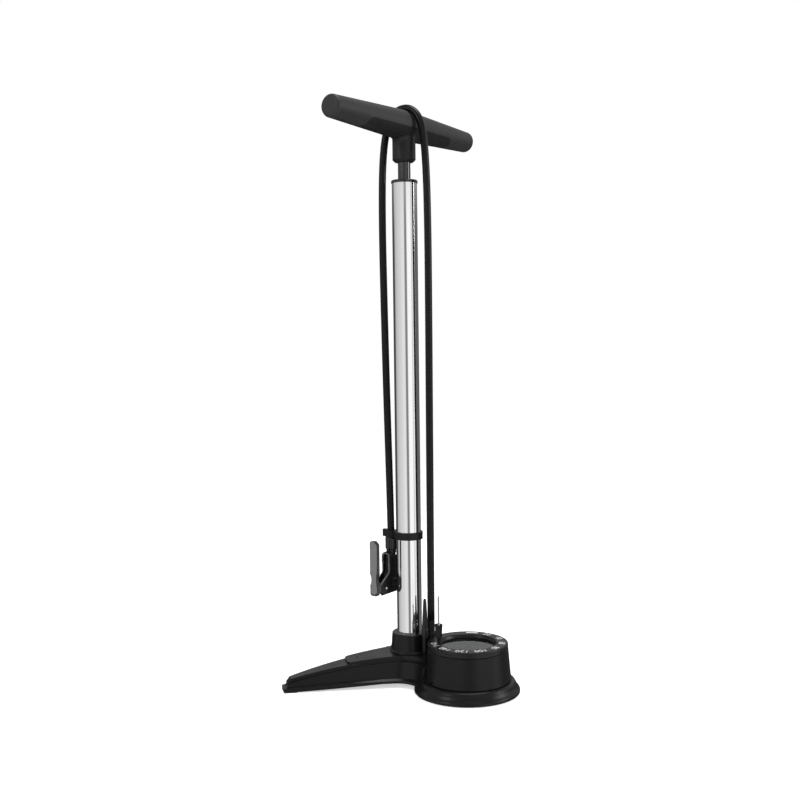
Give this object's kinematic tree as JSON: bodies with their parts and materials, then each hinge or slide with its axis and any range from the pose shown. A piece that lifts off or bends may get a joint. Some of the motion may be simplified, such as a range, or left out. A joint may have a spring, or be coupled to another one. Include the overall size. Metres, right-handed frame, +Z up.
{
  "type": "bicycle floor pump",
  "caption": "Upright floor pump: barrel on a base with two legs and a round dial gauge, T handle, hose looped over the handle, lever pump head.",
  "frame": {"origin": "on the floor under the axis of the barrel", "axes": "+Z up along the barrel, -Y towards the gauge, handle bar along X"},
  "size_m": [0.286, 0.2525, 0.6883],
  "materials": {
    "base_plastic": "fine satin texture",
    "cover_plastic": "fine satin texture",
    "black_rubber": "matte",
    "screw_steel": "zinc plated",
    "bright_steel": "bright",
    "spring_steel": "drawn wire",
    "cast_alloy": "cast zinc",
    "polished_aluminium": "polished",
    "brass": "machined",
    "black_steel": "gloss black",
    "gloss_black": "gloss",
    "guide_plastic": "natural",
    "handle_plastic": "satin",
    "grip_plastic": "fine texture",
    "bezel_plastic": "semi gloss",
    "gauge_glass": "clear",
    "dial_face": "dark grey print",
    "pointer_paint": "red enamel",
    "hose_rubber": "smooth",
    "clip_plastic": "satin",
    "head_plastic": "satin gloss",
    "lever_grey": "satin grey",
    "nozzle_plastic": "satin",
    "white_print": "pad print"
  },
  "bodies": {
    "base": {"base_shell": "base_plastic", "base_cover": "cover_plastic", "cover_screws": "screw_steel", "skirt_foot_ring": "black_rubber", "foot_cover": "base_plastic", "air_manifold": "cast_alloy", "drum_screws": "screw_steel", "foot_left": "black_rubber", "foot_right": "black_rubber", "barrel_tube": "polished_aluminium", "foot_plug": "cast_alloy", "foot_oring": "black_rubber", "valve_seat": "black_rubber", "valve_spring": "spring_steel", "barrel_cap": "gloss_black", "cap_bush": "guide_plastic", "rod_wiper": "black_rubber", "cap_bumper": "black_rubber", "gauge_housing": "base_plastic", "gauge_bezel": "bezel_plastic", "gauge_lens": "gauge_glass", "lens_gasket": "black_rubber", "dial_spacer": "bezel_plastic", "gauge_dial": "dial_face", "gauge_stem": "brass", "bourdon_tube": "brass", "movement_plate": "brass", "movement_posts": "brass", "hose": "hose_rubber", "hose_fitting": "brass", "base_ferrule": "hose_rubber", "hose_clip": "clip_plastic", "head_body": "head_plastic", "head_nose": "gloss_black", "head_grommet": "black_rubber", "head_collar": "gloss_black", "head_barb": "hose_rubber", "lever_pin": "bright_steel", "needle_holder": "gloss_black", "nozzle_post": "base_plastic"},
    "check_valve": {"valve_disc": "brass"},
    "piston": {"piston_head": "polished_aluminium", "piston_cup": "black_rubber", "piston_washer": "screw_steel", "piston_bolt": "screw_steel"},
    "handle": {"piston_rod": "black_steel", "handle_core": "handle_plastic", "handle_grip": "grip_plastic", "grip_screws": "screw_steel", "rod_screw": "screw_steel"},
    "lever": {"lever": "lever_grey"},
    "plunger": {"plunger": "guide_plastic"},
    "pointer": {"pointer_arbor": "screw_steel", "gauge_pointer": "pointer_paint"},
    "sector": {"sector_gear": "brass"},
    "needle": {"ball_needle": "bright_steel"},
    "nozzle": {"cone_nozzle": "nozzle_plastic"}
  },
  "joints": [
    {"name": "pump_stroke", "type": "slide", "parent": "base", "child": "piston", "axis": [0, 0, 1], "range_m": [0, 0.488], "deforming": ["hose"]},
    {"name": "handle_turn", "type": "hinge", "parent": "piston", "child": "handle", "pos_m": [0, 0, 0.0703], "axis": [0, 0, 1], "range_deg": [-7, 7], "deforming": ["hose"]},
    {"name": "valve_lift", "type": "slide", "parent": "base", "child": "check_valve", "axis": [0, 0, -1], "range_m": [0, 0.0012], "stiffness_N_per_m": 150, "springref_m": -0.002, "deforming": ["valve_spring"]},
    {"name": "lever_swing", "type": "hinge", "parent": "base", "child": "lever", "pos_m": [-0.02, 0.0255, 0.1134], "axis": [0, -1, 0], "range_deg": [0, 90]},
    {"name": "plunger_press", "type": "slide", "parent": "base", "child": "plunger", "axis": [1, 0, 0], "range_m": [0, 0.0026]},
    {"name": "pointer_turn", "type": "hinge", "parent": "base", "child": "pointer", "pos_m": [0, -0.0812, 0.047], "axis": [0, 0, -1], "range_deg": [0, 248]},
    {"name": "sector_turn", "type": "hinge", "parent": "base", "child": "sector", "pos_m": [0.013, -0.0812, 0.038], "axis": [0, 0, -1], "range_deg": [-36, 1]},
    {"name": "needle_out", "type": "slide", "parent": "base", "child": "needle", "axis": [0, 0, 1], "range_m": [0, 0.03]},
    {"name": "nozzle_out", "type": "slide", "parent": "base", "child": "nozzle", "axis": [0, 0, 1], "range_m": [0, 0.05]}
  ],
  "couplings": [
    {"joint": "plunger_press", "follows": "lever_swing", "m_per_rad": 0.0015915},
    {"joint": "sector_turn", "follows": "pointer_turn", "ratio": -0.14286}
  ]
}
